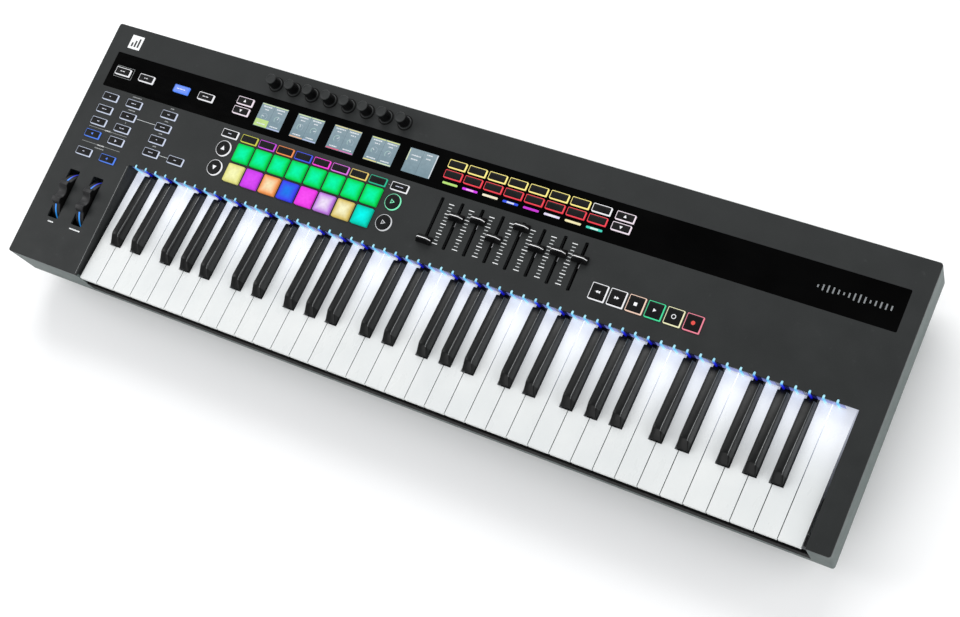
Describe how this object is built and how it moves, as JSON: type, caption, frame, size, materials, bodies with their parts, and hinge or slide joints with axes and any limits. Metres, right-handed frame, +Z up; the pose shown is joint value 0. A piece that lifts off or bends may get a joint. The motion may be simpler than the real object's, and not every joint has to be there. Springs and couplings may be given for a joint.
{
  "type": "synthesizer keyboard",
  "caption": "Full-width keyboard controller with light-piped keys, performance wheels, lit pads, encoder knobs, faders, small displays and rows of lit buttons on a flat dark panel.",
  "frame": {"origin": "bottom centre of the bounding box, on the surface that the feet stand on", "axes": "+X along the keys towards the high notes, +Y to the rear, +Z up"},
  "size_m": [0.975, 0.294, 0.0976],
  "materials": {
    "panel": "fine spark-eroded texture",
    "case_shell": "fine texture",
    "gloss_strip": "polished black",
    "display": "colour display behind the strip",
    "circuit_board": "solder mask",
    "sheet_steel": "zinc plated",
    "bright_steel": "drawn",
    "contact_rubber": "silicone",
    "felt": "pressed felt",
    "light_pipe": "clear, lit from inside",
    "socket_plastic": "moulded black",
    "sensor_film": "printed film",
    "foot_rubber": "soft black",
    "white_key": "smooth white",
    "black_key": "satin black",
    "knob": "fluted black",
    "fader_cap": "satin black",
    "button": "black with a lit rim",
    "pad": "lit silicone",
    "wheel": "satin black with a lit band"
  },
  "bodies": {
    "chassis": {"lower_case": "case_shell", "top_panel": "panel", "display_window": "gloss_strip", "display_modules": "display", "main_board": "circuit_board", "control_board": "circuit_board", "keybed_frame": "sheet_steel", "key_pivot_rod": "bright_steel", "key_contact_board": "circuit_board", "key_contact_strip": "contact_rubber", "key_stop_felts": "felt", "key_light_pipes": "light_pipe", "wheel_bracket": "sheet_steel", "wheel_pots": "socket_plastic", "encoder_bodies": "socket_plastic", "fader_bodies": "socket_plastic", "pad_sensor_sheet": "sensor_film", "rear_sockets": "socket_plastic", "rubber_feet": "foot_rubber", "case_screws": "bright_steel"},
    "keys_c": {"keys_c": "white_key"},
    "keys_d": {"keys_d": "white_key"},
    "keys_e": {"keys_e": "white_key"},
    "keys_f": {"keys_f": "white_key"},
    "keys_g": {"keys_g": "white_key"},
    "keys_a": {"keys_a": "white_key"},
    "keys_b": {"keys_b": "white_key"},
    "keys_c_sharp": {"keys_c_sharp": "black_key"},
    "keys_d_sharp": {"keys_d_sharp": "black_key"},
    "keys_f_sharp": {"keys_f_sharp": "black_key"},
    "keys_g_sharp": {"keys_g_sharp": "black_key"},
    "keys_a_sharp": {"keys_a_sharp": "black_key"},
    "key_top_c": {"key_top_c": "white_key"},
    "encoder_knob_1": {"encoder_knob_1": "knob"},
    "encoder_knob_2": {"encoder_knob_2": "knob"},
    "encoder_knob_3": {"encoder_knob_3": "knob"},
    "encoder_knob_4": {"encoder_knob_4": "knob"},
    "encoder_knob_5": {"encoder_knob_5": "knob"},
    "encoder_knob_6": {"encoder_knob_6": "knob"},
    "encoder_knob_7": {"encoder_knob_7": "knob"},
    "encoder_knob_8": {"encoder_knob_8": "knob"},
    "fader_1": {"fader_1": "fader_cap"},
    "fader_2": {"fader_2": "fader_cap"},
    "fader_3": {"fader_3": "fader_cap"},
    "fader_4": {"fader_4": "fader_cap"},
    "fader_5": {"fader_5": "fader_cap"},
    "fader_6": {"fader_6": "fader_cap"},
    "fader_7": {"fader_7": "fader_cap"},
    "fader_8": {"fader_8": "fader_cap"},
    "function_buttons": {"function_buttons": "button"},
    "soft_buttons": {"soft_buttons": "button"},
    "page_buttons": {"page_buttons": "button"},
    "fader_buttons": {"fader_buttons": "button"},
    "round_buttons": {"round_buttons": "button"},
    "transport_buttons": {"transport_buttons": "button"},
    "pads_upper": {"pads_upper": "pad"},
    "pads_lower": {"pads_lower": "pad"},
    "pitch_wheel": {"pitch_wheel": "wheel"},
    "mod_wheel": {"mod_wheel": "wheel"},
    "power_button": {"power_button": "knob"}
  },
  "joints": [
    {"name": "keys_c_press", "type": "hinge", "parent": "chassis", "child": "keys_c", "pos_m": [0, 0.02, 0.0605], "axis": [1, 0, 0], "range_deg": [0, 3], "stiffness_Nm_per_rad": 2, "springref_deg": -16.04},
    {"name": "keys_d_press", "type": "hinge", "parent": "chassis", "child": "keys_d", "pos_m": [0, 0.02, 0.0605], "axis": [1, 0, 0], "range_deg": [0, 3], "stiffness_Nm_per_rad": 2, "springref_deg": -16.04},
    {"name": "keys_e_press", "type": "hinge", "parent": "chassis", "child": "keys_e", "pos_m": [0, 0.02, 0.0605], "axis": [1, 0, 0], "range_deg": [0, 3], "stiffness_Nm_per_rad": 2, "springref_deg": -16.04},
    {"name": "keys_f_press", "type": "hinge", "parent": "chassis", "child": "keys_f", "pos_m": [0, 0.02, 0.0605], "axis": [1, 0, 0], "range_deg": [0, 3], "stiffness_Nm_per_rad": 2, "springref_deg": -16.04},
    {"name": "keys_g_press", "type": "hinge", "parent": "chassis", "child": "keys_g", "pos_m": [0, 0.02, 0.0605], "axis": [1, 0, 0], "range_deg": [0, 3], "stiffness_Nm_per_rad": 2, "springref_deg": -16.04},
    {"name": "keys_a_press", "type": "hinge", "parent": "chassis", "child": "keys_a", "pos_m": [0, 0.02, 0.0605], "axis": [1, 0, 0], "range_deg": [0, 3], "stiffness_Nm_per_rad": 2, "springref_deg": -16.04},
    {"name": "keys_b_press", "type": "hinge", "parent": "chassis", "child": "keys_b", "pos_m": [0, 0.02, 0.0605], "axis": [1, 0, 0], "range_deg": [0, 3], "stiffness_Nm_per_rad": 2, "springref_deg": -16.04},
    {"name": "keys_c_sharp_press", "type": "hinge", "parent": "chassis", "child": "keys_c_sharp", "pos_m": [0, 0.02, 0.0605], "axis": [1, 0, 0], "range_deg": [0, 3], "stiffness_Nm_per_rad": 2, "springref_deg": -16.04},
    {"name": "keys_d_sharp_press", "type": "hinge", "parent": "chassis", "child": "keys_d_sharp", "pos_m": [0, 0.02, 0.0605], "axis": [1, 0, 0], "range_deg": [0, 3], "stiffness_Nm_per_rad": 2, "springref_deg": -16.04},
    {"name": "keys_f_sharp_press", "type": "hinge", "parent": "chassis", "child": "keys_f_sharp", "pos_m": [0, 0.02, 0.0605], "axis": [1, 0, 0], "range_deg": [0, 3], "stiffness_Nm_per_rad": 2, "springref_deg": -16.04},
    {"name": "keys_g_sharp_press", "type": "hinge", "parent": "chassis", "child": "keys_g_sharp", "pos_m": [0, 0.02, 0.0605], "axis": [1, 0, 0], "range_deg": [0, 3], "stiffness_Nm_per_rad": 2, "springref_deg": -16.04},
    {"name": "keys_a_sharp_press", "type": "hinge", "parent": "chassis", "child": "keys_a_sharp", "pos_m": [0, 0.02, 0.0605], "axis": [1, 0, 0], "range_deg": [0, 3], "stiffness_Nm_per_rad": 2, "springref_deg": -16.04},
    {"name": "key_top_c_press", "type": "hinge", "parent": "chassis", "child": "key_top_c", "pos_m": [0, 0.02, 0.0605], "axis": [1, 0, 0], "range_deg": [0, 3], "stiffness_Nm_per_rad": 0.4, "springref_deg": -16.04},
    {"name": "function_buttons_press", "type": "slide", "parent": "chassis", "child": "function_buttons", "axis": [0, 0, -1], "range_m": [0, 0.001], "stiffness_N_per_m": 500, "springref_m": -0.002},
    {"name": "soft_buttons_press", "type": "slide", "parent": "chassis", "child": "soft_buttons", "axis": [0, 0, -1], "range_m": [0, 0.001], "stiffness_N_per_m": 500, "springref_m": -0.002},
    {"name": "page_buttons_press", "type": "slide", "parent": "chassis", "child": "page_buttons", "axis": [0, 0, -1], "range_m": [0, 0.001], "stiffness_N_per_m": 500, "springref_m": -0.002},
    {"name": "fader_buttons_press", "type": "slide", "parent": "chassis", "child": "fader_buttons", "axis": [0, 0, -1], "range_m": [0, 0.001], "stiffness_N_per_m": 500, "springref_m": -0.002},
    {"name": "round_buttons_press", "type": "slide", "parent": "chassis", "child": "round_buttons", "axis": [0, 0, -1], "range_m": [0, 0.001], "stiffness_N_per_m": 500, "springref_m": -0.002},
    {"name": "transport_buttons_press", "type": "slide", "parent": "chassis", "child": "transport_buttons", "axis": [0, 0, -1], "range_m": [0, 0.001], "stiffness_N_per_m": 500, "springref_m": -0.002},
    {"name": "pads_upper_press", "type": "slide", "parent": "chassis", "child": "pads_upper", "axis": [0, 0, -1], "range_m": [0, 0.0008], "stiffness_N_per_m": 900, "springref_m": -0.0012},
    {"name": "pads_lower_press", "type": "slide", "parent": "chassis", "child": "pads_lower", "axis": [0, 0, -1], "range_m": [0, 0.0008], "stiffness_N_per_m": 900, "springref_m": -0.0012},
    {"name": "power_button_press", "type": "slide", "parent": "chassis", "child": "power_button", "axis": [0, -1, 0], "range_m": [0, 0.002], "stiffness_N_per_m": 200, "springref_m": -0.001},
    {"name": "encoder_knob_1_turn", "type": "hinge", "parent": "chassis", "child": "encoder_knob_1", "pos_m": [-0.2574, 0.1291, 0.09], "axis": [0, 0, 1], "continuous": true},
    {"name": "encoder_knob_2_turn", "type": "hinge", "parent": "chassis", "child": "encoder_knob_2", "pos_m": [-0.23353, 0.1291, 0.09], "axis": [0, 0, 1], "continuous": true},
    {"name": "encoder_knob_3_turn", "type": "hinge", "parent": "chassis", "child": "encoder_knob_3", "pos_m": [-0.20966, 0.1291, 0.09], "axis": [0, 0, 1], "continuous": true},
    {"name": "encoder_knob_4_turn", "type": "hinge", "parent": "chassis", "child": "encoder_knob_4", "pos_m": [-0.18579, 0.1291, 0.09], "axis": [0, 0, 1], "continuous": true},
    {"name": "encoder_knob_5_turn", "type": "hinge", "parent": "chassis", "child": "encoder_knob_5", "pos_m": [-0.16192, 0.1291, 0.09], "axis": [0, 0, 1], "continuous": true},
    {"name": "encoder_knob_6_turn", "type": "hinge", "parent": "chassis", "child": "encoder_knob_6", "pos_m": [-0.13805, 0.1291, 0.09], "axis": [0, 0, 1], "continuous": true},
    {"name": "encoder_knob_7_turn", "type": "hinge", "parent": "chassis", "child": "encoder_knob_7", "pos_m": [-0.11418, 0.1291, 0.09], "axis": [0, 0, 1], "continuous": true},
    {"name": "encoder_knob_8_turn", "type": "hinge", "parent": "chassis", "child": "encoder_knob_8", "pos_m": [-0.09031, 0.1291, 0.09], "axis": [0, 0, 1], "continuous": true},
    {"name": "fader_1_slide", "type": "slide", "parent": "chassis", "child": "fader_1", "axis": [0, 1, 0], "range_m": [0, 0.045]},
    {"name": "fader_2_slide", "type": "slide", "parent": "chassis", "child": "fader_2", "axis": [0, 1, 0], "range_m": [-0.0318, 0.0132]},
    {"name": "fader_3_slide", "type": "slide", "parent": "chassis", "child": "fader_3", "axis": [0, 1, 0], "range_m": [-0.0363, 0.0087]},
    {"name": "fader_4_slide", "type": "slide", "parent": "chassis", "child": "fader_4", "axis": [0, 1, 0], "range_m": [-0.0233, 0.0217]},
    {"name": "fader_5_slide", "type": "slide", "parent": "chassis", "child": "fader_5", "axis": [0, 1, 0], "range_m": [-0.0432, 0.0018]},
    {"name": "fader_6_slide", "type": "slide", "parent": "chassis", "child": "fader_6", "axis": [0, 1, 0], "range_m": [-0.0273, 0.0177]},
    {"name": "fader_7_slide", "type": "slide", "parent": "chassis", "child": "fader_7", "axis": [0, 1, 0], "range_m": [-0.0303, 0.0147]},
    {"name": "fader_8_slide", "type": "slide", "parent": "chassis", "child": "fader_8", "axis": [0, 1, 0], "range_m": [-0.0303, 0.0147]},
    {"name": "pitch_wheel_turn", "type": "hinge", "parent": "chassis", "child": "pitch_wheel", "pos_m": [-0.4524, -0.0635, 0.0595], "axis": [1, 0, 0], "range_deg": [-40, 40], "stiffness_Nm_per_rad": 0.06},
    {"name": "mod_wheel_turn", "type": "hinge", "parent": "chassis", "child": "mod_wheel", "pos_m": [-0.4183, -0.0635, 0.0595], "axis": [1, 0, 0], "range_deg": [-40, 40]}
  ]
}
